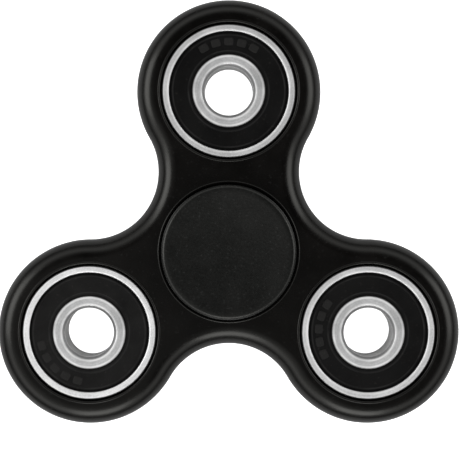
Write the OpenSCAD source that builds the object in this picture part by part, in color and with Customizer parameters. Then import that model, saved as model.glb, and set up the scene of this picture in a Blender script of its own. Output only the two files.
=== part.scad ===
// Three-lobed fidget spinner: a moulded frame, four sealed ball bearings and two finger caps.
// The spin axis is Z, and Z = 0 is halfway through the frame. Lobe A points along +Y.

/* [Frame] */
// Thickness of the frame between its two flat faces
frame_thickness = 7.4; // [6.5:0.1:10]
// Wall of frame between the centre bearing and each lobe's bearing
web_wall = 4.4; // [2:0.1:9]
// Wall of frame between a lobe's bearing and the outside of the lobe
lobe_wall = 4.2; // [3.2:0.1:8]
// Radius that rounds the frame's outside edges
edge_radius = 3.0; // [1:0.1:3.2]
// Width of the open gap around a bearing's rim at each face of the frame
mouth_gap = 0.24; // [0.1:0.02:0.4]
// Depth of that gap, below which it tapers in to the seat
mouth_depth = 0.55; // [0.3:0.05:1]
// Radius of the small half-round bead around each bearing seat
bead_radius = 0.28; // [0.2:0.02:0.4]
// Height of that bead over the frame's flat face
bead_height = 0.12; // [0.06:0.02:0.18]

/* [Bearings] */
// Outside diameter of a bearing
bearing_diameter = 22; // [20:0.5:28]
// Bore of a bearing
bearing_bore = 8; // [6:0.1:10]
// Width of a bearing along its axis
bearing_width = 7; // [6.4:0.1:9]
// Diameter of each ball
ball_diameter = 3.969; // [3.2:0.001:4.4]
// Number of balls in a bearing
ball_count = 7; // [5:1:7]
// Radial space between the lands of the two rings
ring_gap = 2.9; // [2.2:0.1:3.2]
// Width of the chamfer at each end of a bearing's bore
bore_chamfer = 0.5; // [0.2:0.05:0.8]
// Radius that rounds the outside edges of a bearing
rim_corner = 0.3; // [0.1:0.05:0.6]
// Width of the bare steel face of the outer ring
rim_face = 1.2; // [0.8:0.05:1.6]

/* [Seals] */
// Depth of the seal's outside face below the ring's face
seal_recess = 0.2; // [0.1:0.05:0.4]
// Thickness of the seal's thin edge, which snaps into the outer ring
seal_edge = 0.35; // [0.2:0.05:0.5]
// Width of the open groove between the seal's raised band and the steel
seal_moat = 0.35; // [0.2:0.05:0.6]
// How far the seal's edge reaches under the steel
seal_bite = 0.25; // [0.1:0.05:0.4]
// Thickness of the steel over the seal's edge
snap_lip = 0.4; // [0.2:0.05:0.6]

/* [Cage] */
// Thickness of the cage's floor under each ball
cage_floor = 0.42; // [0.2:0.02:0.5]
// How far the cage's horns reach past the middle of the balls
cage_horns = 1.0; // [0.5:0.1:1.4]
// Width of the slot between two neighbouring horns
horn_slot = 1.1; // [0.4:0.1:1.4]

/* [Finger caps] */
// Diameter of a finger cap
cap_diameter = 22; // [18:0.5:30]
// Thickness of a cap's disc at its rim
cap_thickness = 2.3; // [1.6:0.1:4]
// Gap between a cap's underside and the frame or the bearing, whichever stands higher
cap_gap = 0.5; // [0.3:0.1:1.5]
// Width of the flat rim, up to the rounded edge
cap_rim = 0.5; // [0.3:0.05:2]
// Depth of the finger dish at its middle
dish_depth = 0.5; // [0.2:0.05:0.9]
// Radius that rounds the outer edge of a cap's face
cap_edge = 0.55; // [0.2:0.05:0.9]
// Radius that rounds the edge of a cap's underside
cap_under_edge = 0.3; // [0.1:0.05:0.6]
// Length of the stub that is pressed into the bearing's bore
stub_length = 3.2; // [2:0.1:3.4]
// Diameter of the blind hole that cores the stub
stub_core = 4.6; // [2:0.1:5]

/* [Fits] */
// Radial clearance left in the solids of a press fit
press_clearance = 0.01; // [0:0.005:0.03]
// Gap between a ball and the bottom of a race
race_clearance = 0.02; // [0.01:0.005:0.05]
// Radial gap between a seal's lip and the inner ring
lip_clearance = 0.06; // [0.03:0.01:0.15]
// Gap between a ball and its pocket in the cage
pocket_clearance = 0.1; // [0.05:0.01:0.2]
// Radial gap between the cage and each ring
cage_clearance = 0.5; // [0.3:0.05:0.8]
// Radial gap between a cap's shoulder and the edge of the inner ring
shoulder_clearance = 0.4; // [0.2:0.05:0.8]

/* [Hidden] */
$fn = 96;
LOBES = ["lobe_a", "lobe_b", "lobe_c"];
LOBE_ANGLES = [90, 210, 330];
BEARINGS = concat(["center"], LOBES);
RINGS = ["outer_ring", "inner_ring", "top_seal", "bottom_seal", "cage"];

cut_over = 1;                    // how far a cutting shape runs past what it cuts

// Frame
seat_r = bearing_diameter / 2 + press_clearance;
arm_length = bearing_diameter + web_wall;
lobe_r = bearing_diameter / 2 + lobe_wall;
half_frame = frame_thickness / 2;
// The outline is six arcs whose centres make a regular hexagon around the axis: three lobes,
// and between them three necks, each tangent to the lobes beside it.
neck_r = arm_length - lobe_r;
plain_r = 2.4;                   // from each lobe's centre, left open for the seat to cut
mouth_r = seat_r + mouth_gap;
bead_trim = 0.05;                // how much of the bead's inside the mouth cuts off
bead_ring_r = mouth_r + bead_radius - bead_trim;

// Bearing
half_bearing = bearing_width / 2;
bore_r = bearing_bore / 2;
rim_r = bearing_diameter / 2;
pitch_r = (bore_r + rim_r) / 2;
ball_r = ball_diameter / 2;
inner_land_r = pitch_r - ring_gap / 2;
outer_land_r = pitch_r + ring_gap / 2;
race_r = 0.52 * ball_diameter;   // a race is a little wider than its balls
race_edge = 0.1;                 // chamfer on the outside edges of the inner ring
face_inner_r = rim_r - rim_face; // where the outer ring's bare face ends
snap_r = face_inner_r + seal_bite;
snap_top = half_bearing - snap_lip;
snap_floor = snap_top - seal_edge - 2 * press_clearance;

// Seal
seal_bottom = snap_floor + press_clearance;
seal_edge_top = seal_bottom + seal_edge;
seal_top = half_bearing - seal_recess;
seal_outer_r = snap_r - press_clearance;
seal_inner_r = inner_land_r + lip_clearance;
band_r = face_inner_r - seal_moat;
lip_width = 0.3;                 // radial width of the lip that wipes the inner ring
lip_depth = 0.3;                 // how far the lip reaches in below the seal
band_fall = 0.08;                // how far the middle of the band lies below its two ridges
ridge_width = 0.45;              // width of each ridge

// Cage
pocket_r = ball_r + pocket_clearance;
cage_inner_r = inner_land_r + cage_clearance;
cage_outer_r = outer_land_r - cage_clearance;
cage_bottom = -pocket_r - cage_floor;
slot_floor = -0.8;               // how deep the slots between the horns are cut

// Cap
cap_r = cap_diameter / 2;
cap_under = max(half_frame, half_bearing) + cap_gap;
cap_top = cap_under + cap_thickness;
dish_r = cap_r - cap_edge - cap_rim;
dish_ball_r = (dish_r * dish_r + dish_depth * dish_depth) / (2 * dish_depth);
shoulder_r = inner_land_r - shoulder_clearance;
stub_r = bore_r - press_clearance;
stub_end = half_bearing - stub_length;
stub_chamfer = 0.3;
core_top = cap_under + 0.2;      // the blind hole stops just inside the disc

// Place of a bearing, by its number in BEARINGS
function seat_place(i) = i == 0 ? [0, 0, 0] : corner_place(LOBE_ANGLES[i - 1]);

// Place of the hexagon's corner that lies in one direction from the axis
function corner_place(a) = arm_length * [cos(a), sin(a), 0];

// Moves a shape in two steps, a coarse one and a fine one, which keeps every digit of the place
module put(place) {
    coarse = [for (v = place) round(v * 10) / 10];
    translate(coarse) translate(place - coarse) children();
}

// What lies outside the arc that rounds a corner of a profile. The corner is at [x, y], and
// dx and dy are 1 or -1: the way from the corner into the material.
module corner_waste(x, y, dx, dy, r) {
    reach = r + cut_over;
    translate([x + dx * r, y + dy * r])
        difference() {
            translate([dx > 0 ? -reach : 0, dy > 0 ? -reach : 0]) square(reach);
            circle(r);
        }
}

// Cutter for a bearing's seat: a hole through the frame, wider at both mouths
module seat_cut() {
    taper_top = half_frame - mouth_depth;
    taper_bottom = taper_top - mouth_gap;
    rotate_extrude()
        polygon([
            [0, -half_frame - cut_over], [mouth_r, -half_frame - cut_over],
            [mouth_r, -taper_top], [seat_r, -taper_bottom],
            [seat_r, taper_bottom], [mouth_r, taper_top],
            [mouth_r, half_frame + cut_over], [0, half_frame + cut_over]
        ]);
}

// The bead around a bearing seat, on both faces of the frame
module seat_bead() {
    for (side = [-1, 1])
        rotate_extrude()
            translate([bead_ring_r, side * (half_frame + bead_height - bead_radius)])
                circle(bead_radius);
}

// The outer two thirds of a lobe, turned about the lobe's centre with its edges rounded
module lobe_sector(a) {
    rotate_extrude(angle = 240, start = a - 120)
        difference() {
            translate([plain_r, -half_frame]) square([lobe_r - plain_r, frame_thickness]);
            corner_waste(lobe_r, half_frame, -1, -1, edge_radius);
            corner_waste(lobe_r, -half_frame, -1, 1, edge_radius);
        }
}

// The material around a neck arc, turned about the arc's centre. It reaches past the middle of
// the two arms beside it, so the neck sectors overlap there.
module neck_sector(a) {
    rotate_extrude(angle = 120, start = a + 120)
        difference() {
            translate([neck_r, -half_frame])
                square([arm_length - plain_r - neck_r, frame_thickness]);
            corner_waste(neck_r, half_frame, 1, -1, edge_radius);
            corner_waste(neck_r, -half_frame, 1, 1, edge_radius);
        }
}

module frame() {
    color("#161616")
        difference() {
            union() {
                for (a = LOBE_ANGLES) {
                    put(corner_place(a)) lobe_sector(a);
                    put(corner_place(a + 60)) neck_sector(a + 60);
                }
                for (i = [0:len(BEARINGS) - 1]) put(seat_place(i)) seat_bead();
            }
            for (i = [0:len(BEARINGS) - 1]) put(seat_place(i)) seat_cut();
        }
}

// The hardened outer ring: a groove for the balls, and a snap groove for each seal
module outer_ring() {
    race_centre = pitch_r + ball_r + race_clearance - race_r;
    color("#c8c9ca")
        rotate_extrude()
            difference() {
                polygon([
                    [rim_r, -half_bearing], [rim_r, half_bearing],
                    [face_inner_r, half_bearing], [face_inner_r, snap_top],
                    [snap_r, snap_top], [snap_r, snap_floor],
                    [outer_land_r, snap_floor], [outer_land_r, -snap_floor],
                    [snap_r, -snap_floor], [snap_r, -snap_top],
                    [face_inner_r, -snap_top], [face_inner_r, -half_bearing]
                ]);
                translate([race_centre, 0]) circle(race_r);
                corner_waste(rim_r, half_bearing, -1, -1, rim_corner);
                corner_waste(rim_r, -half_bearing, -1, 1, rim_corner);
            }
}

// The inner ring: a groove for the balls, and a bore chamfered at both ends
module inner_ring() {
    race_centre = pitch_r - ball_r - race_clearance + race_r;
    color("#c8c9ca")
        rotate_extrude()
            difference() {
                polygon([
                    [bore_r, bore_chamfer - half_bearing],
                    [bore_r + bore_chamfer, -half_bearing],
                    [inner_land_r - race_edge, -half_bearing],
                    [inner_land_r, race_edge - half_bearing],
                    [inner_land_r, half_bearing - race_edge],
                    [inner_land_r - race_edge, half_bearing],
                    [bore_r + bore_chamfer, half_bearing],
                    [bore_r, half_bearing - bore_chamfer]
                ]);
                translate([race_centre, 0]) circle(race_r);
            }
}

// Rubber seal on the +Z side: a thin edge in the steel, two ridges and a wiping lip
module seal() {
    color("#1b1b1c")
        rotate_extrude()
            polygon([
                [seal_inner_r, seal_bottom - lip_depth],
                [seal_inner_r + lip_width, seal_bottom - lip_depth],
                [seal_inner_r + lip_width, seal_bottom],
                [seal_outer_r, seal_bottom],
                [seal_outer_r, seal_edge_top],
                [band_r, seal_edge_top],
                [band_r, seal_top - band_fall],
                [band_r - band_fall, seal_top],
                [band_r - ridge_width, seal_top],
                [band_r - ridge_width - band_fall, seal_top - band_fall],
                [seal_inner_r + ridge_width + 3 * band_fall, seal_top - band_fall],
                [seal_inner_r + ridge_width + 2 * band_fall, seal_top],
                [seal_inner_r + 2 * band_fall, seal_top],
                [seal_inner_r, seal_top - 2 * band_fall]
            ]);
}

// Snap-in cage: a ring with a pocket for each ball, open on the +Z side between its horns
module cage() {
    color("#e4dfd0")
        difference() {
            translate([0, 0, cage_bottom]) cylinder(r = cage_outer_r, h = cage_horns - cage_bottom);
            translate([0, 0, cage_bottom - cut_over])
                cylinder(r = cage_inner_r, h = cage_horns - cage_bottom + 2 * cut_over);
            for (k = [1:ball_count]) {
                rotate([0, 0, ball_angle(k)]) translate([pitch_r, 0, 0]) sphere(pocket_r);
                rotate([0, 0, ball_angle(k + 0.5)])
                    translate([0, -horn_slot / 2, slot_floor]) cube([rim_r, horn_slot, bearing_width]);
            }
        }
}

// The first ball of each bearing lies on its +Y side
function ball_angle(k) = 90 + (k - 1) * 360 / ball_count;

module ball(k) {
    color("#dcdddf")
        rotate([0, 0, ball_angle(k)]) translate([pitch_r, 0, 0]) sphere(ball_r);
}

// Finger cap on the +Z side: a dished disc, a shoulder on the inner ring and a cored stub
module cap() {
    color("#1e1e1e")
        rotate_extrude()
            difference() {
                union() {
                    translate([0, cap_under]) square([cap_r, cap_thickness]);
                    translate([0, half_bearing]) square([shoulder_r, cap_under - half_bearing + 0.1]);
                    polygon([
                        [0, stub_end], [stub_r - stub_chamfer, stub_end],
                        [stub_r, stub_end + stub_chamfer], [stub_r, cap_under], [0, cap_under]
                    ]);
                }
                translate([-cut_over, stub_end - cut_over])
                    square([stub_core / 2 + cut_over, core_top - stub_end + cut_over]);
                translate([0, cap_top - dish_depth + dish_ball_r]) circle(dish_ball_r, $fn = 900);
                corner_waste(cap_r, cap_top, -1, -1, cap_edge);
                corner_waste(cap_r, cap_under, -1, 1, cap_under_edge);
            }
}

frame();
cap();  // top_cap
mirror([0, 0, 1]) cap();  // bottom_cap
for (i = [0:len(BEARINGS) - 1]) put(seat_place(i)) {
    outer_ring();
    inner_ring();
    seal();
    mirror([0, 0, 1]) seal();
    cage();
    for (k = [1:ball_count])
        ball(k);
}
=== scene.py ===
import math

import bmesh
import bpy
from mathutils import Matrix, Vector


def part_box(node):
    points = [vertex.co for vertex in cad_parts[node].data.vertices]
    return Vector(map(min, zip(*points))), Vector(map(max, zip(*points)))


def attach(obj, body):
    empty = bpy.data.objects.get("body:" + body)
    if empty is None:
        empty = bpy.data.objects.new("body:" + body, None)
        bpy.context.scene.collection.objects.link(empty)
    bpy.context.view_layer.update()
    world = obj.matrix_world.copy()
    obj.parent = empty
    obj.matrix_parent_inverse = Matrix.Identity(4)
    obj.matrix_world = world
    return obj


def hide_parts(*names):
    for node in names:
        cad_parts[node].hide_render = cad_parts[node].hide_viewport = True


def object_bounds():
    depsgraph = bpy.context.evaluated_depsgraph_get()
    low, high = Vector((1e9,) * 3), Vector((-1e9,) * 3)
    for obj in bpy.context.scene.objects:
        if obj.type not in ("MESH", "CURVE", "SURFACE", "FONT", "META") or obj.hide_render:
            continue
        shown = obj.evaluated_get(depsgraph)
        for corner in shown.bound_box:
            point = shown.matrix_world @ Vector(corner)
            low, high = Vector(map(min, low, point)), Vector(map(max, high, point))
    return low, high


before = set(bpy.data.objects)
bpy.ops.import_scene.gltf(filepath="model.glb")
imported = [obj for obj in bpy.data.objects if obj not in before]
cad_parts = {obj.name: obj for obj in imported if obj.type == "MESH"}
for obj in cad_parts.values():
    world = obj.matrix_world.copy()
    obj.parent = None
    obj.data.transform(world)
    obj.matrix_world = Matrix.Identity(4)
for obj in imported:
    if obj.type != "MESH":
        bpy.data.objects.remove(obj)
cad_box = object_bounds()


# ---------------------------------------------------------------------------------------------
# Bearing rings. Each of the four bearings has a hardened outer ring and inner ring, turned from
# chrome steel tube, with a ball race and seal grooves, then ground on their faces. The lathe
# below turns a drawn section round the bearing's own axis.

MM = 0.001          # sections are drawn in millimetres, and the scene is in metres
WELD = 2e-7         # points nearer than this are made one
ROUND_STEPS = 192   # flats round a turned piece


def add(tree, kind, inputs=None, **settings):
    """Adds a node. An input is set to a value, or joined to another node's output."""
    made = tree.nodes.new(kind)
    for name, value in settings.items():
        setattr(made, name, value)
    for key, value in (inputs or {}).items():
        if isinstance(value, bpy.types.NodeSocket):
            tree.links.new(value, made.inputs[key])
        else:
            made.inputs[key].default_value = value
    return made


def sum_up(tree, operation, *values):
    """One step of arithmetic on numbers."""
    return add(tree, "ShaderNodeMath", dict(enumerate(values)), operation=operation).outputs[0]


def new_tree(name, kind, inputs, outputs):
    """A node group with named inputs and outputs, and the nodes that carry them."""
    tree = bpy.data.node_groups.new(name, kind)
    for label, socket, value in inputs:
        made = tree.interface.new_socket(label, in_out="INPUT", socket_type=socket)
        if value is not None:
            made.default_value = value
    for label, socket in outputs:
        tree.interface.new_socket(label, in_out="OUTPUT", socket_type=socket)
    return tree, tree.nodes.new("NodeGroupInput").outputs, tree.nodes.new("NodeGroupOutput").inputs


def make_lathe():
    """Turns a section, drawn as a chain of points at (radius, 0, height), round an axis."""
    tree, given, made = new_tree("Lathe", "GeometryNodeTree", [
        ("Section", "NodeSocketGeometry", None),
        ("Axis place", "NodeSocketVector", (0.0, 0.0, 0.0)),
        ("Start", "NodeSocketFloat", 0.0),
        ("Sweep", "NodeSocketFloat", math.tau),
        ("Steps", "NodeSocketInt", ROUND_STEPS),
    ], [("Turned", "NodeSocketGeometry")])
    section = given["Section"]
    count = add(tree, "GeometryNodeAttributeDomainSize", {"Geometry": section},
                component="MESH").outputs["Point Count"]
    columns = sum_up(tree, "ADD", given["Steps"], 1.0)
    grid = add(tree, "GeometryNodeMeshGrid", {"Vertices X": columns, "Vertices Y": count})
    index = add(tree, "GeometryNodeInputIndex").outputs[0]
    column = sum_up(tree, "FLOOR", sum_up(tree, "DIVIDE", index, count))
    row = sum_up(tree, "SUBTRACT", index, sum_up(tree, "MULTIPLY", column, count))
    place = add(tree, "GeometryNodeInputPosition").outputs[0]
    drawn = add(tree, "GeometryNodeSampleIndex",
                {"Geometry": section, "Value": place, "Index": row}, data_type="FLOAT_VECTOR")
    point = add(tree, "ShaderNodeSeparateXYZ", {0: drawn.outputs[0]})
    share = sum_up(tree, "DIVIDE", column, given["Steps"])
    turn = sum_up(tree, "ADD", given["Start"], sum_up(tree, "MULTIPLY", share, given["Sweep"]))
    turned = add(tree, "ShaderNodeCombineXYZ", {
        0: sum_up(tree, "MULTIPLY", point.outputs[0], sum_up(tree, "COSINE", turn)),
        1: sum_up(tree, "MULTIPLY", point.outputs[0], sum_up(tree, "SINE", turn)),
        2: point.outputs[2]}).outputs[0]
    put = add(tree, "ShaderNodeVectorMath", {0: turned, 1: given["Axis place"]}, operation="ADD")
    kept = add(tree, "GeometryNodeStoreNamedAttribute",
               {"Geometry": grid.outputs["Mesh"], "Name": "from axis", "Value": turned},
               data_type="FLOAT_VECTOR", domain="POINT")
    moved = add(tree, "GeometryNodeSetPosition",
                {"Geometry": kept.outputs[0], "Position": put.outputs[0]})
    whole = add(tree, "GeometryNodeMergeByDistance",
                {"Geometry": moved.outputs[0], "Distance": WELD})
    tree.links.new(whole.outputs[0], made["Turned"])
    return tree


lathe = make_lathe()


def finish_piece(tree, geometry, given, made):
    """Ends a tree with one real mesh in the material it was given."""
    real = add(tree, "GeometryNodeRealizeInstances", {0: geometry})
    done = add(tree, "GeometryNodeSetMaterial", {"Geometry": real.outputs[0],
                                                 "Material": given["Material"]})
    tree.links.new(done.outputs[0], made["Piece"])


def make_turning():
    """The lathe's work as a finished piece, in its material."""
    tree, given, made = new_tree("Turned piece", "GeometryNodeTree", [
        ("Section", "NodeSocketGeometry", None),
        ("Axis place", "NodeSocketVector", (0.0, 0.0, 0.0)),
        ("Steps", "NodeSocketInt", ROUND_STEPS),
        ("Material", "NodeSocketMaterial", None),
    ], [("Piece", "NodeSocketGeometry")])
    work = add(tree, "GeometryNodeGroup", node_tree=lathe)
    for name in ("Section", "Axis place", "Steps"):
        tree.links.new(given[name], work.inputs[name])
    finish_piece(tree, work.outputs[0], given, made)
    return tree


turning = make_turning()


def draw_section(corners, closed=True, steps=8):
    """Points of a section, in millimetres, from corners at (radius, height, rounding)."""
    points = []
    last = len(corners) - 1
    for i, (x, y, rounding) in enumerate(corners):
        if not rounding or (not closed and i in (0, last)):
            points.append((x, y))
            continue
        corner = Vector((x, y))
        before = (Vector(corners[i - 1][:2]) - corner).normalized()
        after = (Vector(corners[(i + 1) % len(corners)][:2]) - corner).normalized()
        half = before.angle(after) / 2
        centre = corner + (before + after).normalized() * (rounding / math.sin(half))
        first = (corner + before * (rounding / math.tan(half)) - centre).normalized()
        final = (corner + after * (rounding / math.tan(half)) - centre).normalized()
        for k in range(steps + 1):
            points.append(tuple(centre + first.slerp(final, k / steps) * rounding))
    return points + points[:1] if closed else points


def arc_points(x, y, radius, start, end, steps=16):
    """Points on an arc of a section, as plain corners. The angles are in degrees."""
    turns = [math.radians(start + (end - start) * k / steps) for k in range(steps + 1)]
    return [(x + radius * math.cos(t), y + radius * math.sin(t), 0) for t in turns]


def chain(name, points):
    """A mesh of points joined in a row, at (radius, 0, height) in metres."""
    mesh = bpy.data.meshes.new(name)
    mesh.from_pydata([(x * MM, 0, y * MM) for x, y in points],
                     [(i, i + 1) for i in range(len(points) - 1)], [])
    return mesh


def grow(name, tree, base, values):
    """Runs a node tree on a mesh and returns the result as a plain object, edges smoothed."""
    piece = bpy.data.objects.new(name, base)
    bpy.context.scene.collection.objects.link(piece)
    work = piece.modifiers.new("Work", "NODES")
    work.node_group = tree
    for item in tree.interface.items_tree:
        if item.item_type == "SOCKET" and item.in_out == "INPUT" and item.name in values:
            work[item.identifier] = values[item.name]
    ready = piece.evaluated_get(bpy.context.evaluated_depsgraph_get())
    mesh = bpy.data.meshes.new_from_object(ready)
    piece.modifiers.remove(work)
    piece.data = mesh
    mesh.name = name
    bpy.data.meshes.remove(base)
    solid = bmesh.new()
    solid.from_mesh(mesh)
    bmesh.ops.remove_doubles(solid, verts=solid.verts, dist=WELD)
    bmesh.ops.recalc_face_normals(solid, faces=solid.faces)
    solid.to_mesh(mesh)
    solid.free()
    mesh.shade_smooth()
    mesh.set_sharp_from_angle(angle=math.radians(32))
    return piece


def middle(node):
    """The middle of a CAD node's box."""
    low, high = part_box(node)
    return (low + high) / 2


def make_lathe_marks():
    """Fine marks round the axis, and broad tones that change slowly round the ring."""
    tree, given, made = new_tree("Lathe marks", "ShaderNodeTree", [
        ("Pitch", "NodeSocketFloat", 5000.0),
        ("Seed", "NodeSocketFloat", 0.0),
    ], [("Marks", "NodeSocketFloat"), ("Tone", "NodeSocketFloat"), ("Grit", "NodeSocketFloat"),
        ("Radius", "NodeSocketFloat")])
    place = add(tree, "ShaderNodeAttribute", attribute_name="from axis").outputs["Vector"]
    axes = add(tree, "ShaderNodeSeparateXYZ", {0: place}).outputs
    flat = add(tree, "ShaderNodeCombineXYZ", {0: axes[0], 1: axes[1]}).outputs[0]
    radius = add(tree, "ShaderNodeVectorMath", {0: flat}, operation="LENGTH").outputs["Value"]
    way = add(tree, "ShaderNodeVectorMath", {0: flat}, operation="NORMALIZE").outputs[0]
    across = sum_up(tree, "MULTIPLY", sum_up(tree, "ADD", radius, axes[2]), given["Pitch"])
    around = add(tree, "ShaderNodeVectorMath", {0: way, "Scale": 2.2}, operation="SCALE")
    turns = add(tree, "ShaderNodeSeparateXYZ", {0: around.outputs[0]}).outputs
    ring = add(tree, "ShaderNodeCombineXYZ",
               {0: turns[0], 1: turns[1], 2: sum_up(tree, "ADD", across, given["Seed"])})
    marks = add(tree, "ShaderNodeTexNoise", {"Vector": ring.outputs[0], "Scale": 1.0,
                                             "Detail": 3.0, "Roughness": 0.65})
    slow = add(tree, "ShaderNodeTexNoise", {"Vector": place, "Scale": 260.0, "Detail": 3.0,
                                            "Roughness": 0.6})
    grit = add(tree, "ShaderNodeTexNoise", {"Vector": place, "Scale": 3600.0, "Detail": 2.0,
                                            "Roughness": 0.7})
    tree.links.new(marks.outputs["Fac"], made["Marks"])
    tree.links.new(slow.outputs["Fac"], made["Tone"])
    tree.links.new(grit.outputs["Fac"], made["Grit"])
    tree.links.new(radius, made["Radius"])
    return tree


lathe_marks = make_lathe_marks()


def new_material(name, **constants):
    """A material with its Principled shader, whose unchanging values are set on the sockets."""
    material = bpy.data.materials.new(name)
    material.use_nodes = True
    shader = material.node_tree.nodes["Principled BSDF"]
    for key, value in constants.items():
        shader.inputs[key.replace("_", " ")].default_value = value
    return material, material.node_tree, shader


def spread(tree, value, low, high, out_low, out_high):
    """Maps a value from one range to another, held at both ends."""
    return add(tree, "ShaderNodeMapRange", {"Value": value, "From Min": low, "From Max": high,
                                            "To Min": out_low, "To Max": out_high}).outputs[0]


def blend_colours(tree, amount, first, second):
    """Mixes two colours, each a colour or another node's output."""
    mix = add(tree, "ShaderNodeMix", data_type="RGBA")
    colours = [s for s in mix.inputs if s.type == "RGBA"]
    for socket, value in zip([mix.inputs[0], *colours], (amount, first, second)):
        if isinstance(value, bpy.types.NodeSocket):
            tree.links.new(value, socket)
        else:
            socket.default_value = value
    return [s for s in mix.outputs if s.type == "RGBA"][0]


def raise_grain(tree, shader, height, strength, distance):
    """Raises the surface where the height is high, by up to a distance in metres."""
    bump = add(tree, "ShaderNodeBump", {"Strength": strength, "Distance": distance,
                                        "Height": height})
    tree.links.new(bump.outputs[0], shader.inputs["Normal"])


def ring_mask(tree, radius, at_r, half_width, fade):
    """One within half_width of a radius, fading out beyond it; all three in millimetres."""
    off = sum_up(tree, "ABSOLUTE", sum_up(tree, "SUBTRACT", radius, at_r * MM))
    return spread(tree, off, half_width * MM, (half_width + fade) * MM, 1.0, 0.0)


ring_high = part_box("center_outer_ring")[1]
rim_r = ring_high.x / MM
half_width = ring_high.z / MM
bore_r = 4.0
bore_chamfer = 0.5
pitch_r = (bore_r + rim_r) / 2
land_inner_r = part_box("center_inner_ring")[1].x / MM
land_outer_r = 2 * pitch_r - land_inner_r
ball_low, ball_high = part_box("center_ball_1")
ball_r = (ball_high.z - ball_low.z) / 2 / MM
race_r = 1.04 * ball_r      # a race is a little wider than its ball
ball_play = 0.02
face_r = 9.8
snap_r = 10.05
snap_top = 3.1
snap_floor = 2.73
rim_break = 0.3
edge_break = 0.25
land_break = 0.16
snap_break = 0.05


def ground_steel(name, pale, unshaded_rs, highlight_rs):
    """Ground bearing steel: neutral, with fine turning marks and a little grain. The chamfer at
    the bore is painted dark, as painted shade, and the bore wall is painted bright: a fine
    ground finish with painted reflection. Painted highlights run round its edges at the
    highlight radii, in millimetres. Outside the two unshaded radii it is painted almost black,
    as painted shade where the ring meets the seal and the seat."""
    material, tree, shader = new_material(name, Metallic=1.0)
    work = add(tree, "ShaderNodeGroup", {"Pitch": 9000.0}, node_tree=lathe_marks).outputs
    streak = spread(tree, work["Marks"], 0.3, 0.7, 0.0, 1.0)
    tint = blend_colours(tree, streak, (0.84 * pale, 0.84 * pale, 0.845 * pale, 1),
                         (1.1 * pale, 1.1 * pale, 1.095 * pale, 1))
    grain = spread(tree, work["Grit"], 0.40, 0.70, 0.0, 0.45)
    tint = blend_colours(tree, grain, tint, (0.60 * pale, 0.60 * pale, 0.605 * pale, 1))
    honed_reflection_end, chamfer_start, chamfer_full, chamfer_fade, chamfer_end = [
        (bore_r + past_bore) * MM for past_bore in (0.01, 0.03, 0.08, 0.30, 0.46)]
    # Painted shade: the chamfer at the bore is painted nearly black.
    chamfer = sum_up(tree, "MULTIPLY",
                     spread(tree, work["Radius"], chamfer_start, chamfer_full, 0.0, 0.6),
                     spread(tree, work["Radius"], chamfer_fade, chamfer_end, 1.0, 0.0))
    tint = blend_colours(tree, chamfer, tint, (0.10, 0.10, 0.10, 1))
    # Painted reflection: the bore wall is painted much paler than the faces, on top of its fine
    # finish.
    honed_reflection = spread(tree, work["Radius"], honed_reflection_end, chamfer_start, 0.5, 0.0)
    tint = blend_colours(tree, honed_reflection, tint, (0.97, 0.97, 0.965, 1))
    # Painted highlights: a pale band is painted round each highlight radius, along the edges.
    for highlight_r in highlight_rs:
        rubbed = sum_up(tree, "MULTIPLY", ring_mask(tree, work["Radius"], highlight_r, 0.06, 0.16),
                        spread(tree, work["Tone"], 0.3, 0.6, 0.35, 0.8))
        tint = blend_colours(tree, rubbed, tint, (0.93, 0.93, 0.925, 1))
    # Painted shade: outside the unshaded band the steel is painted almost black, where it meets the
    # seal and the seat.
    unshaded = ring_mask(tree, work["Radius"], sum(unshaded_rs) / 2, (unshaded_rs[1] - unshaded_rs[0]) / 2, 0.1)
    tint = blend_colours(tree, spread(tree, unshaded, 0.0, 1.0, 0.93, 0.0), tint,
                         (0.012, 0.011, 0.010, 1))
    tree.links.new(tint, shader.inputs["Base Color"])
    tree.links.new(spread(tree, work["Tone"], 0.35, 0.65, 0.50, 0.60), shader.inputs["Roughness"])
    height = sum_up(tree, "ADD", work["Marks"], sum_up(tree, "MULTIPLY", work["Grit"], 0.6))
    raise_grain(tree, shader, height, 0.35, 4e-6)
    return material


inner_steel = ground_steel("inner ring steel", 0.64, unshaded_rs=(0, 5.84), highlight_rs=(4.62, 5.66))
# Each bearing's outer rings are one steel at its own paleness: palest on the lower-left bearing,
# where the light falls strongest, and darkest under the cap. This is painted light and shade.
outer_steel_lighting = {"center": 0.6, "lobe_a": 0.7, "lobe_b": 0.93, "lobe_c": 0.76}


def race(centre_x, land_x, side):
    """The ball groove in a land, from its lower edge to its upper edge."""
    reach = math.degrees(math.acos(abs(land_x - centre_x) / race_r))
    if side > 0:
        return arc_points(centre_x, 0, race_r, -reach, reach)
    return arc_points(centre_x, 0, race_r, 180 + reach, 180 - reach)


outer_race = race(pitch_r + ball_r + ball_play - race_r, land_outer_r, 1)
outer_section = draw_section(
    [(rim_r, -half_width, rim_break), (face_r, -half_width, edge_break),
     (face_r, -snap_top, snap_break), (snap_r, -snap_top, 0), (snap_r, -snap_floor, 0),
     (land_outer_r, -snap_floor, snap_break), *outer_race,
     (land_outer_r, snap_floor, snap_break), (snap_r, snap_floor, 0), (snap_r, snap_top, 0),
     (face_r, snap_top, snap_break), (face_r, half_width, edge_break),
     (rim_r, half_width, rim_break)], steps=6)
inner_race = race(pitch_r - ball_r - ball_play + race_r, land_inner_r, -1)
inner_section = draw_section(
    [(bore_r, -half_width + bore_chamfer, 0.1), (bore_r, half_width - bore_chamfer, 0.1),
     (bore_r + bore_chamfer, half_width, edge_break), (land_inner_r, half_width, land_break),
     *inner_race[::-1], (land_inner_r, -half_width, land_break),
     (bore_r + bore_chamfer, -half_width, edge_break)], steps=8)

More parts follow.
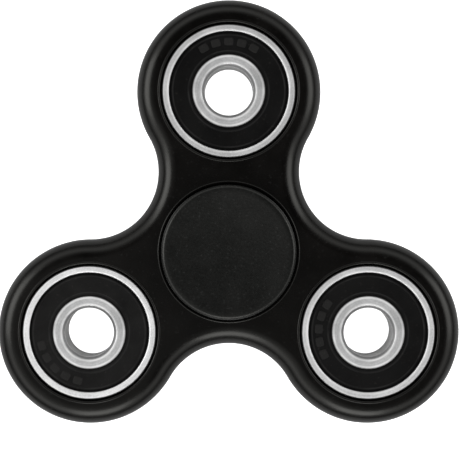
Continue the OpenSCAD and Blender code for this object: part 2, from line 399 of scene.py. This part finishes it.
for bearing, pale in outer_steel_lighting.items():
    outer_steel = ground_steel(f"{bearing} outer ring steel", pale,
                               unshaded_rs=(9.86, 10.73), highlight_rs=(face_r + edge_break,))
    for ring, section, steel in (("outer_ring", outer_section, outer_steel),
                                 ("inner_ring", inner_section, inner_steel)):
        node = f"{bearing}_{ring}"
        piece = grow(f"{node}_ground", turning, chain(node, section),
                     {"Axis place": middle(node), "Steps": ROUND_STEPS, "Material": steel})
        body = "rotor" if ring == "outer_ring" else "hub" if bearing == "center" else node
        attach(piece, body)
        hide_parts(node)


# ---------------------------------------------------------------------------------------------
# Balls and cages. Seven polished steel balls run in each bearing, spaced by a cage moulded in
# natural nylon that snaps over them. Both are shut in behind the seals.

def polished_balls():
    """Lapped ball steel with a faint patchy film."""
    material, tree, shader = new_material("polished ball steel", Metallic=1.0)
    place = add(tree, "ShaderNodeTexCoord").outputs["Object"]
    film = add(tree, "ShaderNodeTexNoise", {"Vector": place, "Scale": 900.0, "Detail": 2.0})
    tint = blend_colours(tree, spread(tree, film.outputs["Fac"], 0.4, 0.7, 0.0, 1.0),
                         (0.72, 0.72, 0.73, 1), (0.62, 0.60, 0.55, 1))
    tree.links.new(tint, shader.inputs["Base Color"])
    tree.links.new(spread(tree, film.outputs["Fac"], 0.3, 0.7, 0.06, 0.16),
                   shader.inputs["Roughness"])
    return material


def cage_nylon():
    """Unfilled nylon, slightly clouded, with a film of grease in places."""
    material, tree, shader = new_material("cage nylon", Subsurface_Weight=0.15,
                                          Subsurface_Scale=0.0008)
    place = add(tree, "ShaderNodeTexCoord").outputs["Object"]
    cloud = add(tree, "ShaderNodeTexNoise", {"Vector": place, "Scale": 500.0, "Detail": 4.0})
    tint = blend_colours(tree, spread(tree, cloud.outputs["Fac"], 0.35, 0.65, 0.0, 1.0),
                         (0.66, 0.60, 0.46, 1), (0.78, 0.75, 0.66, 1))
    tree.links.new(tint, shader.inputs["Base Color"])
    tree.links.new(spread(tree, cloud.outputs["Fac"], 0.3, 0.7, 0.25, 0.55),
                   shader.inputs["Roughness"])
    raise_grain(tree, shader, cloud.outputs["Fac"], 0.2, 1e-5)
    return material


ball_steel = polished_balls()
nylon = cage_nylon()
for name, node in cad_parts.items():
    finish = ball_steel if "_ball_" in name else nylon if name.endswith("_cage") else None
    if finish:
        node.data.materials.clear()
        node.data.materials.append(finish)


# ---------------------------------------------------------------------------------------------
# Seals. A ring of black nitrile rubber moulded on a steel washer snaps into the outer ring on
# each side. It has a ridge at both edges of its band and a few raised bars on the band.

seal_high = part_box("center_top_seal")[1]
seal_out_r = seal_high.x / MM
seal_top = seal_high.z / MM
lip_gap = 0.01
lip_size = 0.3
seal_in_r = land_inner_r + lip_gap
seal_base = 2.74
edge_top = 3.09
band_out_r = 9.45
ridge_height = 0.08
band_top = seal_top - ridge_height
inner_ridge_r = 6.58
outer_ridge_r = 9.2
seal_section = draw_section(
    [(seal_in_r, seal_base - lip_size, 0.1), (seal_in_r + lip_size, seal_base - lip_size, 0.1),
     (seal_in_r + lip_size, seal_base, 0.08), (seal_out_r, seal_base, 0.04),
     (seal_out_r, edge_top, 0.04), (band_out_r, edge_top, 0.08),
     (band_out_r, band_top, 0.03), (band_out_r - 0.06, seal_top, 0.05),
     (band_out_r - 0.26, seal_top, 0.05), (band_out_r - 0.36, band_top, 0.05),
     (seal_in_r + 0.72, band_top, 0.08), (seal_in_r + 0.6, seal_top, 0.08),
     (seal_in_r + 0.16, seal_top, 0.1), (seal_in_r, band_top, 0.05)], steps=5)


def make_seal_tree():
    """A turned seal with raised bars in a row round part of its band."""
    tree, given, made = new_tree("Marked seal", "GeometryNodeTree", [
        ("Section", "NodeSocketGeometry", None),
        ("Axis place", "NodeSocketVector", (0.0, 0.0, 0.0)),
        ("Steps", "NodeSocketInt", ROUND_STEPS),
        ("Bars", "NodeSocketInt", 5),
        ("Bar size", "NodeSocketVector", (0.00125, 0.0015, 0.00016)),
        ("Row radius", "NodeSocketFloat", 0.0081),
        ("Row height", "NodeSocketFloat", 0.0032),
        ("Row middle", "NodeSocketFloat", 0.0),
        ("Row spacing", "NodeSocketFloat", 0.3),
        ("Material", "NodeSocketMaterial", None),
    ], [("Piece", "NodeSocketGeometry")])
    work = add(tree, "GeometryNodeGroup", node_tree=lathe)
    for name in ("Section", "Axis place", "Steps"):
        tree.links.new(given[name], work.inputs[name])
    bar = add(tree, "GeometryNodeMeshCube", {"Size": given["Bar size"], "Vertices X": 4,
                                             "Vertices Y": 4, "Vertices Z": 3})
    soft = add(tree, "GeometryNodeSubdivisionSurface", {"Mesh": bar.outputs["Mesh"], "Level": 1})
    index = add(tree, "GeometryNodeInputIndex").outputs[0]
    middle_of_row = sum_up(tree, "DIVIDE", sum_up(tree, "SUBTRACT", given["Bars"], 1.0), 2.0)
    step = sum_up(tree, "SUBTRACT", index, middle_of_row)
    turn = sum_up(tree, "ADD", given["Row middle"],
                  sum_up(tree, "MULTIPLY", step, given["Row spacing"]))
    spot = add(tree, "ShaderNodeCombineXYZ", {
        0: sum_up(tree, "MULTIPLY", given["Row radius"], sum_up(tree, "COSINE", turn)),
        1: sum_up(tree, "MULTIPLY", given["Row radius"], sum_up(tree, "SINE", turn)),
        2: given["Row height"]}).outputs[0]
    place = add(tree, "ShaderNodeVectorMath", {0: spot, 1: given["Axis place"]}, operation="ADD")
    points = add(tree, "GeometryNodePoints", {"Count": given["Bars"], "Position": place.outputs[0]})
    facing = add(tree, "ShaderNodeCombineXYZ", {2: turn}).outputs[0]
    copies = add(tree, "GeometryNodeInstanceOnPoints",
                 {"Points": points.outputs[0], "Instance": soft.outputs[0], "Rotation": facing})
    real = add(tree, "GeometryNodeRealizeInstances", {0: copies.outputs[0]})
    here = add(tree, "GeometryNodeInputPosition").outputs[0]
    local = add(tree, "ShaderNodeVectorMath", {0: here, 1: given["Axis place"]},
                operation="SUBTRACT")
    kept = add(tree, "GeometryNodeStoreNamedAttribute",
               {"Geometry": real.outputs[0], "Name": "from axis", "Value": local.outputs[0]},
               data_type="FLOAT_VECTOR", domain="POINT")
    rubbed = add(tree, "GeometryNodeStoreNamedAttribute",
                 {"Geometry": kept.outputs[0], "Name": "rubbed", "Value": 1.0},
                 data_type="FLOAT", domain="POINT")
    both = add(tree, "GeometryNodeJoinGeometry")
    tree.links.new(rubbed.outputs[0], both.inputs[0])
    tree.links.new(work.outputs[0], both.inputs[0])
    finish_piece(tree, both.outputs[0], given, made)
    return tree


def make_handling_dust():
    """Thin dust and skin oil on a dark part: fine specks and soft patches."""
    tree, given, made = new_tree("Handling dust", "ShaderNodeTree", [
        ("Speck scale", "NodeSocketFloat", 2600.0),
        ("Patch scale", "NodeSocketFloat", 140.0),
    ], [("Specks", "NodeSocketFloat"), ("Patches", "NodeSocketFloat")])
    place = add(tree, "ShaderNodeTexCoord").outputs["Object"]
    fine = add(tree, "ShaderNodeTexNoise", {"Vector": place, "Scale": given["Speck scale"],
                                            "Detail": 1.0, "Roughness": 0.4})
    broad = add(tree, "ShaderNodeTexNoise", {"Vector": place, "Scale": given["Patch scale"],
                                             "Detail": 4.0, "Roughness": 0.6})
    specks = spread(tree, fine.outputs["Fac"], 0.66, 0.78, 0.0, 1.0)
    patches = spread(tree, broad.outputs["Fac"], 0.38, 0.68, 0.0, 1.0)
    tree.links.new(specks, made["Specks"])
    tree.links.new(patches, made["Patches"])
    return tree


handling_dust = make_handling_dust()


def seal_rubber(name, light_haze):
    """Matt black rubber with fine mould grain and specks. Its pale haze, from 0 to 1, is set per
    bearing and strongest on the lower-left one: painted light, in soft patches. The raised
    bars and the two ridges are painted paler: painted highlights."""
    material, tree, shader = new_material(name, Specular_IOR_Level=0.1)
    dust = add(tree, "ShaderNodeGroup", node_tree=handling_dust).outputs
    marks = add(tree, "ShaderNodeGroup", {"Pitch": 3500.0}, node_tree=lathe_marks).outputs
    tint = blend_colours(tree, dust["Patches"], (0.0014, 0.0013, 0.0013, 1),
                         (0.0030, 0.0029, 0.0028, 1))
    # Painted light: a pale haze in soft patches, as strong as the bearing's light haze value.
    haze = spread(tree, marks["Tone"], 0.3, 0.7, 0.4 * light_haze, light_haze)
    tint = blend_colours(tree, haze, tint, (0.0115, 0.0112, 0.0108, 1))
    # Painted highlight: the raised bars are painted paler.
    rubbed = add(tree, "ShaderNodeAttribute", attribute_name="rubbed").outputs["Fac"]
    tint = blend_colours(tree, sum_up(tree, "MULTIPLY", rubbed, 0.55), tint,
                         (0.0200, 0.0195, 0.0188, 1))
    # Painted highlights: both ridges are painted paler in patches.
    for ridge_r in (inner_ridge_r, outer_ridge_r):
        ridge_highlight = sum_up(tree, "MULTIPLY", ring_mask(tree, marks["Radius"], ridge_r, 0.05, 0.12),
                      spread(tree, marks["Tone"], 0.35, 0.62, 0.05, 0.55))
        tint = blend_colours(tree, ridge_highlight, tint, (0.0240, 0.0236, 0.0230, 1))
    # Painted shade: the groove at the outer edge of the band is painted nearly black.
    moat_shade = spread(tree, marks["Radius"], (band_out_r - 0.05) * MM, (band_out_r + 0.01) * MM,
                  0.0, 0.9)
    tint = blend_colours(tree, moat_shade, tint, (0.0004, 0.0004, 0.0004, 1))
    tint = blend_colours(tree, sum_up(tree, "MULTIPLY", dust["Specks"], 0.12), tint,
                         (0.06, 0.055, 0.05, 1))
    tree.links.new(tint, shader.inputs["Base Color"])
    tree.links.new(spread(tree, dust["Patches"], 0.0, 1.0, 0.5, 0.62), shader.inputs["Roughness"])
    height = sum_up(tree, "ADD", marks["Grit"], sum_up(tree, "MULTIPLY", marks["Marks"], 0.4))
    raise_grain(tree, shader, height, 0.5, 1.2e-5)
    return material


seal_tree = make_seal_tree()
# Painted light: each bearing's seals get their own pale haze, strongest on the lower-left bearing
# and none on the top one.
light_hazes = {"center": 0.2, "lobe_a": 0.0, "lobe_b": 0.72, "lobe_c": 0.12}
row_middles = {"center": 20, "lobe_a": 90, "lobe_b": 226, "lobe_c": 176}    # in degrees
row_spacing = math.radians(15.2)
for bearing, light_haze in light_hazes.items():
    rubber = seal_rubber(f"{bearing} seal rubber", light_haze)
    for side, up in (("top", 1), ("bottom", -1)):
        node = f"{bearing}_{side}_seal"
        section = [(x, y * up) for x, y in seal_section]
        place = middle(node)
        place.z = 0
        piece = grow(f"{node}_moulded", seal_tree, chain(node, section),
                     {"Axis place": place, "Steps": ROUND_STEPS, "Material": rubber,
                      "Row middle": math.radians(row_middles[bearing]) * up,
                      "Row height": band_top * MM * up, "Row spacing": row_spacing})
        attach(piece, "rotor")
        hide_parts(node)


# ---------------------------------------------------------------------------------------------
# The frame. One black plastic moulding holds the four bearings, which are pressed in. Its
# outline is six arcs on a regular hexagon, its outside edges are fully rounded, and a fine
# flash line runs round the middle, where the two halves of the mould met.

frame_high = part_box("frame")[1]
bead_height = 0.12
half_frame = frame_high.z / MM - bead_height
arm_length = middle("lobe_a_outer_ring").y / MM
lobe_r = frame_high.y / MM - arm_length
seat_press = 0.003
seat_r = rim_r - seat_press
edge_r = 3.0
lead = 0.08
bead_r = 0.25
bead_gap = 0.24
gap_depth = 0.55
seat_depth = 0.8
flash = 0.025
flash_root = 0.08
flash_crest = 0.03
edge_chain = draw_section(
    [(-edge_r - lead, half_frame, 0), (0, half_frame, edge_r), (0, flash_root, 0),
     (flash, flash_crest, 0), (flash, -flash_crest, 0), (0, -flash_root, 0),
     (0, -half_frame, edge_r), (-edge_r - lead, -half_frame, 0)], closed=False, steps=24)
bead_x = bead_gap + bead_r
bead_z = half_frame + bead_height - bead_r
bead_foot = math.degrees(math.asin((half_frame - bead_z) / bead_r))
bead_end = bead_x + bead_r * math.cos(math.radians(bead_foot))
mouth = draw_section(
    [(bead_end + lead, half_frame, 0), *arc_points(bead_x, bead_z, bead_r, bead_foot, 180, 14),
     (bead_gap, half_frame - gap_depth, 0.08), (0, half_frame - seat_depth, 0.08), (0, 1, 0)],
    closed=False, steps=4)
seat_chain = mouth[:-1] + [(x, -y) for x, y in mouth[-2::-1]]


def make_frame_tree():
    """Walls turned round each arc's centre, closed by a flat face above and below."""
    tree, given, made = new_tree("Lobed frame", "GeometryNodeTree", [
        ("Edge section", "NodeSocketGeometry", None),
        ("Seat section", "NodeSocketObject", None),
        ("Arm length", "NodeSocketFloat", 0.0264),
        ("Lobe radius", "NodeSocketFloat", 0.0152),
        ("Seat radius", "NodeSocketFloat", 0.011),
        ("Half thickness", "NodeSocketFloat", 0.0037),
        ("Material", "NodeSocketMaterial", None),
    ], [("Piece", "NodeSocketGeometry")])
    frame_weld = 5e-7

    def along(value):
        return add(tree, "ShaderNodeCombineXYZ", {0: value}).outputs[0]

    def shift(geometry, move, mirror=1.0):
        return add(tree, "GeometryNodeTransform", {"Geometry": geometry, "Translation": move,
                                                   "Scale": (mirror, 1.0, 1.0)}).outputs[0]

    def turned(section, place, start, sweep, steps):
        return add(tree, "GeometryNodeGroup", {
            "Section": section, "Axis place": place, "Start": math.radians(start),
            "Sweep": math.radians(sweep), "Steps": steps}, node_tree=lathe).outputs[0]

    def three_ways(geometry):
        index = add(tree, "GeometryNodeInputIndex").outputs[0]
        turn = sum_up(tree, "MULTIPLY_ADD", index, math.radians(120), math.radians(90))
        facing = add(tree, "ShaderNodeCombineXYZ", {2: turn}).outputs[0]
        points = add(tree, "GeometryNodePoints", {"Count": 3})
        copies = add(tree, "GeometryNodeInstanceOnPoints", {
            "Points": points.outputs[0], "Instance": geometry, "Rotation": facing})
        return add(tree, "GeometryNodeRealizeInstances", {0: copies.outputs[0]}).outputs[0]

    arm = given["Arm length"]
    neck_r = sum_up(tree, "SUBTRACT", arm, given["Lobe radius"])
    lobe_place = along(arm)
    neck_place = add(tree, "ShaderNodeCombineXYZ", {
        0: sum_up(tree, "MULTIPLY", arm, math.cos(math.radians(60))),
        1: sum_up(tree, "MULTIPLY", arm, math.sin(math.radians(60)))}).outputs[0]
    edge = given["Edge section"]
    seat = add(tree, "GeometryNodeObjectInfo",
               {"Object": given["Seat section"]}).outputs["Geometry"]
    lobe_wall = turned(shift(edge, along(given["Lobe radius"])), lobe_place, -120, 240, 128)
    neck_wall = turned(shift(edge, along(neck_r), -1.0), neck_place, 180, 120, 56)
    seat_wall = shift(seat, along(given["Seat radius"]))
    lobe_seat = turned(seat_wall, lobe_place, 0, 360, 160)
    hub_seat = turned(seat_wall, (0.0, 0.0, 0.0), 0, 360, 160)
    third = add(tree, "GeometryNodeJoinGeometry")
    for wall in (lobe_wall, neck_wall, lobe_seat):
        tree.links.new(wall, third.inputs[0])
    walls = add(tree, "GeometryNodeJoinGeometry")
    for wall in (three_ways(third.outputs[0]), hub_seat):
        tree.links.new(wall, walls.inputs[0])
    joined = add(tree, "GeometryNodeMergeByDistance",
                 {"Geometry": walls.outputs[0], "Distance": frame_weld}).outputs[0]
    height = add(tree, "ShaderNodeSeparateXYZ",
                 {0: add(tree, "GeometryNodeInputPosition").outputs[0]}).outputs[2]
    faces = add(tree, "GeometryNodeInputMeshEdgeNeighbors").outputs[0]
    open_edge = sum_up(tree, "LESS_THAN", faces, 1.5)
    top_edge = sum_up(tree, "MULTIPLY", open_edge, sum_up(tree, "GREATER_THAN", height, 0.0))
    loops = add(tree, "GeometryNodeMeshToCurve", {"Mesh": joined, "Selection": top_edge})
    flat = add(tree, "GeometryNodeFillCurve", {"Curve": loops.outputs[0]}).outputs[0]
    lift = add(tree, "ShaderNodeCombineXYZ", {2: given["Half thickness"]}).outputs[0]
    drop = add(tree, "ShaderNodeVectorMath", {0: lift, "Scale": -1.0}, operation="SCALE").outputs[0]
    shell = add(tree, "GeometryNodeJoinGeometry")
    for part in (joined, shift(flat, lift), shift(flat, drop)):
        tree.links.new(part, shell.inputs[0])
    whole = add(tree, "GeometryNodeMergeByDistance",
                {"Geometry": shell.outputs[0], "Distance": frame_weld})
    finish_piece(tree, whole.outputs[0], given, made)
    return tree


def make_mould_grain():
    """The texture that a spark-eroded mould leaves on plastic."""
    tree, given, made = new_tree("Mould grain", "ShaderNodeTree", [
        ("Scale", "NodeSocketFloat", 2500.0),
    ], [("Height", "NodeSocketFloat"), ("Tone", "NodeSocketFloat")])
    place = add(tree, "ShaderNodeTexCoord").outputs["Object"]
    coarse = add(tree, "ShaderNodeTexNoise", {"Vector": place, "Scale": given["Scale"],
                                              "Detail": 3.0, "Roughness": 0.6})
    pits = add(tree, "ShaderNodeTexVoronoi", {"Vector": place, "Scale": given["Scale"]})
    height = sum_up(tree, "ADD", coarse.outputs["Fac"],
                    sum_up(tree, "MULTIPLY", pits.outputs["Distance"], 0.5))
    tree.links.new(height, made["Height"])
    tree.links.new(coarse.outputs["Fac"], made["Tone"])
    return tree


mould_grain = make_mould_grain()

# Both plastics reflect slightly less blue than red and green, which keeps their shine warm.
WARM_GLOSS = (1.0, 1.0, 0.95, 1.0)


def frame_plastic():
    """Black satin plastic: nearly black face on, with soft highlights on its round edges."""
    material, tree, shader = new_material("black moulded plastic", Specular_IOR_Level=0.3,
                                          Specular_Tint=WARM_GLOSS)
    dust = add(tree, "ShaderNodeGroup", node_tree=handling_dust).outputs
    grain = add(tree, "ShaderNodeGroup", {"Scale": 4200.0}, node_tree=mould_grain).outputs
    tint = blend_colours(tree, dust["Patches"], (0.0012, 0.0010, 0.0009, 1),
                         (0.0024, 0.0020, 0.0018, 1))
    tint = blend_colours(tree, sum_up(tree, "MULTIPLY", dust["Specks"], 0.12), tint,
                         (0.05, 0.05, 0.048, 1))
    tree.links.new(tint, shader.inputs["Base Color"])
    tree.links.new(spread(tree, dust["Patches"], 0.0, 1.0, 0.22, 0.28), shader.inputs["Roughness"])
    raise_grain(tree, shader, grain["Height"], 0.25, 8e-6)
    return material


seat_drawing = bpy.data.objects.new("seat section", chain("seat section", seat_chain))
bpy.context.scene.collection.objects.link(seat_drawing)
body_piece = grow("frame_moulding", make_frame_tree(), chain("frame", edge_chain), {
    "Seat section": seat_drawing, "Arm length": arm_length * MM, "Lobe radius": lobe_r * MM,
    "Seat radius": seat_r * MM, "Half thickness": half_frame * MM, "Material": frame_plastic()})
bpy.data.objects.remove(seat_drawing)
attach(body_piece, "rotor")
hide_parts("frame")


# ---------------------------------------------------------------------------------------------
# Finger caps. Two plastic discs with shallow dishes for finger and thumb. Each has a cored stub
# pressed into the centre bearing's bore and a shoulder that rests on its inner ring.

cap_low, cap_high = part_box("top_cap")
cap_r = cap_high.x / MM
cap_top = cap_high.z / MM
stub_end = cap_low.z / MM
cap_gap = 0.5
cap_under = half_frame + cap_gap
cap_rim = 1.05
dish_r = cap_r - cap_rim
dish_depth = 0.5
dish_ball_r = (dish_r ** 2 + dish_depth ** 2) / (2 * dish_depth)
half_turn = math.degrees(math.asin(dish_r / dish_ball_r))
dish = arc_points(0, cap_top - dish_depth + dish_ball_r, dish_ball_r, -90, -90 + half_turn, 28)
shoulder_r = land_inner_r - 0.4
stub_ease = 0.01
stub_r = bore_r - stub_ease
core_r = 2.3
core_top = cap_under + 0.2
cap_section = draw_section(
    [*dish, (cap_r, cap_top, 0.66), (cap_r, cap_under, 0.3), (shoulder_r, cap_under, 0.2),
     (shoulder_r, half_width, 0), (stub_r, half_width, 0), (stub_r, stub_end, 0.3),
     (core_r, stub_end, 0.15), (core_r, core_top, 0.3), (0, core_top, 0)],
    closed=False, steps=8)


def cap_plastic():
    """Charcoal plastic with a fine even grain and a few specks."""
    material, tree, shader = new_material("charcoal cap plastic", Specular_IOR_Level=0.4,
                                          Specular_Tint=WARM_GLOSS)
    dust = add(tree, "ShaderNodeGroup", {"Patch scale": 240.0}, node_tree=handling_dust).outputs
    grain = add(tree, "ShaderNodeGroup", {"Scale": 2600.0}, node_tree=mould_grain).outputs
    tint = blend_colours(tree, spread(tree, grain["Tone"], 0.35, 0.65, 0.0, 1.0),
                         (0.0012, 0.0013, 0.0012, 1), (0.0042, 0.0045, 0.0042, 1))
    tint = blend_colours(tree, sum_up(tree, "MULTIPLY", dust["Specks"], 0.2), tint,
                         (0.05, 0.05, 0.05, 1))
    tree.links.new(tint, shader.inputs["Base Color"])
    tree.links.new(spread(tree, dust["Patches"], 0.0, 1.0, 0.32, 0.38), shader.inputs["Roughness"])
    raise_grain(tree, shader, grain["Height"], 0.6, 2e-5)
    return material


charcoal = cap_plastic()
for node, up in (("top_cap", 1), ("bottom_cap", -1)):
    section = [(x, y * up) for x, y in cap_section]
    piece = grow(f"{node}_moulded", turning, chain(node, section),
                 {"Axis place": (0.0, 0.0, 0.0), "Steps": ROUND_STEPS, "Material": charcoal})
    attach(piece, "hub")
    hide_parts(node)


# ---------------------------------------------------------------------------------------------
# The table and the studio: a plain white table top, soft light from all round and a camera
# that looks straight down.

def table_white():
    """White laminate, very faintly mottled. It glows towards the camera only, to stay white."""
    material, tree, shader = new_material("white table", Roughness=0.6)
    place = add(tree, "ShaderNodeTexCoord").outputs["Object"]
    mottle = add(tree, "ShaderNodeTexNoise", {"Vector": place, "Scale": 60.0, "Detail": 3.0})
    tint = blend_colours(tree, mottle.outputs["Fac"], (0.70, 0.70, 0.70, 1), (0.74, 0.74, 0.74, 1))
    tree.links.new(tint, shader.inputs["Base Color"])
    tree.links.new(tint, shader.inputs["Emission Color"])
    seen = add(tree, "ShaderNodeLightPath").outputs["Is Camera Ray"]
    glow_to_camera = 1.7
    tree.links.new(sum_up(tree, "MULTIPLY", seen, glow_to_camera),
                   shader.inputs["Emission Strength"])
    return material


floor_mesh = bpy.data.meshes.new("table")
half_table = 3.0
table_z = cad_box[0].z
floor_mesh.from_pydata(
    [(x * half_table, y * half_table, table_z) for x, y in ((-1, -1), (1, -1), (1, 1), (-1, 1))],
    [], [(0, 1, 2, 3)])
floor = bpy.data.objects.new("table", floor_mesh)
floor.data.materials.append(table_white())
bpy.context.scene.collection.objects.link(floor)

world = bpy.data.worlds.new("studio")
bpy.context.scene.world = world
world.use_nodes = True
sky = world.node_tree
back = sky.nodes["Background"]
way = add(sky, "ShaderNodeTexCoord").outputs["Generated"]
up = add(sky, "ShaderNodeSeparateXYZ", {0: way}).outputs[2]
ramp = add(sky, "ShaderNodeValToRGB", {"Fac": up})
# How bright the studio is at each height, from the horizon to straight overhead.
stops = [(0.0, 0.15), (0.2, 0.2), (0.45, 1.0), (0.62, 1.4), (0.74, 0.65), (0.86, 0.04),
         (1.0, 0.02)]
for at, level in stops[1:-1]:
    ramp.color_ramp.elements.new(at)
for element, (at, level) in zip(ramp.color_ramp.elements, stops):
    element.position = at
    element.color = (level, level, level, 1)
glow_way = Vector((-0.36, -0.46, 0.81)).normalized()
lean = add(sky, "ShaderNodeVectorMath", {0: way, 1: glow_way},
           operation="DOT_PRODUCT").outputs["Value"]
glow = spread(sky, lean, 0.80, 0.98, 0.0, 0.6)
light = add(sky, "ShaderNodeVectorMath", {0: ramp.outputs["Color"], 1: glow}, operation="ADD")
seen = add(sky, "ShaderNodeLightPath").outputs["Is Camera Ray"]
backdrop = (0.9, 0.9, 0.9, 1)
sky.links.new(blend_colours(sky, seen, light.outputs[0], backdrop), back.inputs["Color"])
back.inputs["Strength"].default_value = 1.0


def soft_box(name, place, size, power):
    """A square soft light that faces the middle of the table."""
    lamp = bpy.data.lights.new(name, "AREA")
    lamp.shape = "SQUARE"
    lamp.size = size
    lamp.energy = power
    holder = bpy.data.objects.new(name, lamp)
    holder.location = place
    holder.rotation_euler = (-Vector(place)).to_track_quat("-Z", "Y").to_euler()
    bpy.context.scene.collection.objects.link(holder)


soft_box("left box", (-0.75, 0.15, 0.62), 0.55, 3.0)
soft_box("right box", (0.75, 0.15, 0.62), 0.55, 2.0)
soft_box("front box", (0.0, -0.75, 0.62), 0.45, 2.0)

# The camera looks straight down from just beside the spin axis, through a long lens. Its
# shift centres the part in the picture.
camera_height = 0.2537
camera = bpy.data.cameras.new("camera")
camera.sensor_width = 36.0
camera.lens = 119.54348
camera.shift_y = -0.054
camera.clip_start = 0.01
camera.clip_end = 20.0
stand = bpy.data.objects.new("camera", camera)
stand.location = (0.0002, 0.00766, camera_height)
bpy.context.scene.collection.objects.link(stand)
bpy.context.scene.camera = stand
bpy.context.scene.view_settings.view_transform = "Standard"
bpy.context.scene.view_settings.look = "None"
